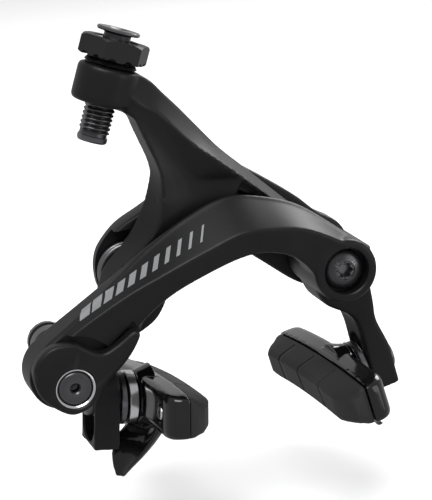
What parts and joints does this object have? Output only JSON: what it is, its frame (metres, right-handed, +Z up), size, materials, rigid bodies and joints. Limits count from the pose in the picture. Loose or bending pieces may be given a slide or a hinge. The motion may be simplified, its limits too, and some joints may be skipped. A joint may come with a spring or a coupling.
{
  "type": "rim brake caliper",
  "caption": "Dark centre-bolt rim brake caliper: arched front arm, tall rear arm with barrel adjuster, small quick-release lever and long cartridge shoes on slotted legs.",
  "frame": {"origin": "on the centre bolt axis, at the rear face of the toothed washer that seats on the fork", "axes": "+Y to the rear along the centre bolt, +Z up towards the cable adjuster, +X to the right as seen from the front of the caliper"},
  "size_m": [0.0892, 0.0605, 0.1024],
  "materials": {
    "arm_paint": "satin near-black paint over forged aluminium",
    "dark_metal": "blackened steel",
    "steel": "plain steel",
    "bronze": "sintered bronze",
    "bright_washer": "bright polished washer",
    "gloss_holder": "glossy black cast holder",
    "pad_rubber": "dark grey brake rubber"
  },
  "bodies": {
    "bridge": {"back_bridge": "arm_paint", "centre_bolt": "dark_metal", "toothed_washer": "steel", "left_pivot_bolt": "dark_metal", "right_pivot_bolt": "dark_metal", "left_thrust_washer": "steel", "right_thrust_washer": "steel", "return_spring": "steel"},
    "centring_screw": {"centring_screw": "dark_metal"},
    "right_arm": {"right_arm": "arm_paint", "right_pivot_bush": "bronze", "roller_pin": "steel"},
    "roller": {"roller": "steel"},
    "qr_lever": {"qr_lever": "arm_paint", "lever_axle": "dark_metal", "clamp_crank": "dark_metal", "cable_clamp_plate": "steel", "cable_clamp_bolt": "steel"},
    "left_arm": {"left_arm": "arm_paint", "left_pivot_bush": "bronze", "adjuster_seat_ring": "dark_metal"},
    "adjusting_nut": {"adjusting_nut": "arm_paint"},
    "adjusting_bolt": {"adjusting_bolt": "dark_metal"},
    "left_shoe_mount": {"left_shoe_bolt": "steel", "left_outer_washer": "steel", "left_concave_washer": "dark_metal", "left_convex_washer": "bright_washer"},
    "left_shoe": {"left_shoe_holder": "gloss_holder", "left_brake_pad": "pad_rubber", "left_pad_screw": "steel"},
    "right_shoe_mount": {"right_shoe_bolt": "steel", "right_outer_washer": "steel", "right_concave_washer": "dark_metal", "right_convex_washer": "bright_washer"},
    "right_shoe": {"right_shoe_holder": "gloss_holder", "right_brake_pad": "pad_rubber", "right_pad_screw": "steel"}
  },
  "joints": [
    {"name": "right_arm_swing", "type": "hinge", "parent": "bridge", "child": "right_arm", "pos_m": [0.0225, 0, -0.016], "axis": [0, 1, 0], "range_deg": [0, 12], "stiffness_Nm_per_rad": 0.25, "springref_deg": -68.75},
    {"name": "left_arm_swing", "type": "hinge", "parent": "bridge", "child": "left_arm", "pos_m": [-0.0225, 0, -0.016], "axis": [0, -1, 0], "range_deg": [0, 12]},
    {"name": "roller_spin", "type": "hinge", "parent": "right_arm", "child": "roller", "pos_m": [0.006, -0.013, -0.004], "axis": [0, 1, 0], "continuous": true},
    {"name": "qr_lever_turn", "type": "hinge", "parent": "right_arm", "child": "qr_lever", "pos_m": [-0.0416, -0.028, -0.0342], "axis": [0, 1, 0], "range_deg": [0, 36]},
    {"name": "adjusting_nut_turn", "type": "hinge", "parent": "left_arm", "child": "adjusting_nut", "pos_m": [-0.02488, -0.013, 0.03605], "axis": [0.299, 0, 0.9542], "range_deg": [-2162, 362]},
    {"name": "barrel_slide", "type": "slide", "parent": "left_arm", "child": "adjusting_bolt", "axis": [0.299, 0, 0.9542], "range_m": [-0.001, 0.006]},
    {"name": "centring_screw_turn", "type": "hinge", "parent": "bridge", "child": "centring_screw", "pos_m": [-0.00641, -0.00515, -0.01481], "axis": [0.5795, 0, -0.815], "range_deg": [-720, 720]},
    {"name": "left_shoe_height", "type": "slide", "parent": "left_arm", "child": "left_shoe_mount", "axis": [0.0698, 0, 0.9976], "range_m": [-0.005, 0.0006]},
    {"name": "left_shoe_pitch", "type": "hinge", "parent": "left_shoe_mount", "child": "left_shoe", "pos_m": [-0.02362, -0.0165, -0.04282], "axis": [0.9976, 0, -0.0698], "range_deg": [-6, 6]},
    {"name": "right_shoe_height", "type": "slide", "parent": "right_arm", "child": "right_shoe_mount", "axis": [-0.2588, 0, 0.9659], "range_m": [-0.0001, 0.0042]},
    {"name": "right_shoe_pitch", "type": "hinge", "parent": "right_shoe_mount", "child": "right_shoe", "pos_m": [0.0248, -0.0165, -0.04395], "axis": [-0.9659, 0, -0.2588], "range_deg": [-6, 6]}
  ],
  "couplings": [
    {"joint": "left_arm_swing", "follows": "right_arm_swing", "ratio": 1},
    {"joint": "adjusting_nut_turn", "follows": "barrel_slide", "rad_per_m": -6283.2}
  ]
}
